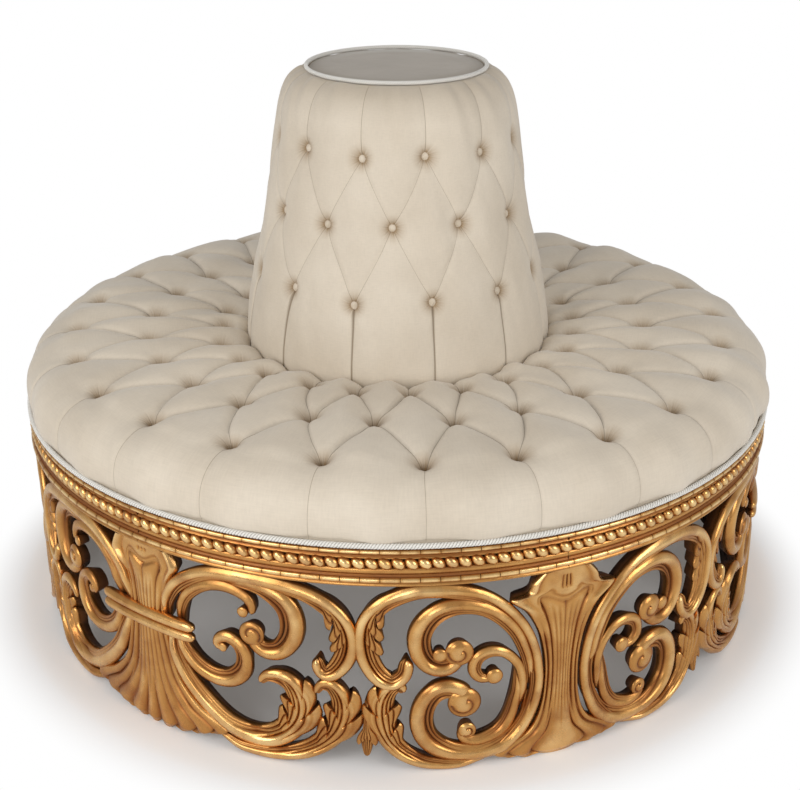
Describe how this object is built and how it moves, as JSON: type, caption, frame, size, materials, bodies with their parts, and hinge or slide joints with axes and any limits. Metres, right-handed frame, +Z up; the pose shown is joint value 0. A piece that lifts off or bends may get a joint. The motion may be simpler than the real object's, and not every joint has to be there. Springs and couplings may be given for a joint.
{
  "type": "round centre sofa",
  "caption": "Round centre sofa: openwork carved gilt base ring with a beaded rail, deep-buttoned ring seat and a buttoned conical back with a flat top.",
  "frame": {"origin": "centre of the base ring on the floor", "axes": "+Z up along the axis of the ring; -Y is the middle of a plain pilaster, the pilaster right of centre in the picture"},
  "size_m": [1.4036, 1.4036, 1.0175],
  "materials": {
    "gilded_wood": "carved wood, gilded over a dark ground, worn along its ridges and darker in its hollows",
    "upholstery": "cream fabric with a low sheen, deep-buttoned",
    "trim_cord": "off-white twisted upholstery cord",
    "foam": "open-cell upholstery foam",
    "plywood": "bare birch plywood",
    "frame_wood": "planed hardwood, unfinished",
    "steel": "zinc-plated steel",
    "dust_cloth": "black cambric dust cover"
  },
  "bodies": {
    "root": {"plain_pilaster_1": "gilded_wood", "plain_pilaster_2": "gilded_wood", "plain_pilaster_3": "gilded_wood", "tied_pilaster_1": "gilded_wood", "tied_pilaster_2": "gilded_wood", "tied_pilaster_3": "gilded_wood", "scroll_panel_1": "gilded_wood", "scroll_panel_2": "gilded_wood", "scroll_panel_3": "gilded_wood", "scroll_panel_4": "gilded_wood", "scroll_panel_5": "gilded_wood", "scroll_panel_6": "gilded_wood", "rail_segment_1": "gilded_wood", "rail_segment_2": "gilded_wood", "rail_segment_3": "gilded_wood", "rail_segment_4": "gilded_wood", "rail_segment_5": "gilded_wood", "rail_segment_6": "gilded_wood", "seat_deck": "plywood", "back_base_board": "plywood", "back_top_board": "plywood", "beam_side_to_side": "frame_wood", "beam_front_to_back": "frame_wood", "centre_leg": "frame_wood", "corner_block_1": "frame_wood", "corner_block_2": "frame_wood", "corner_block_3": "frame_wood", "corner_block_4": "frame_wood", "back_slat_1": "frame_wood", "back_slat_2": "frame_wood", "back_slat_3": "frame_wood", "back_slat_4": "frame_wood", "back_slat_5": "frame_wood", "back_slat_6": "frame_wood", "back_slat_7": "frame_wood", "back_slat_8": "frame_wood", "leg_leveller": "steel", "back_bolt_1": "steel", "back_bolt_2": "steel", "back_bolt_3": "steel", "back_bolt_4": "steel", "back_nut_1": "steel", "back_nut_2": "steel", "back_nut_3": "steel", "back_nut_4": "steel", "dust_cover": "dust_cloth", "seat_cushion": "upholstery", "back_cover": "upholstery", "back_top_pad": "upholstery", "seat_foam": "foam", "back_foam": "foam", "seat_trim_cord": "trim_cord", "back_trim_cord": "trim_cord"}
  },
  "joints": []
}
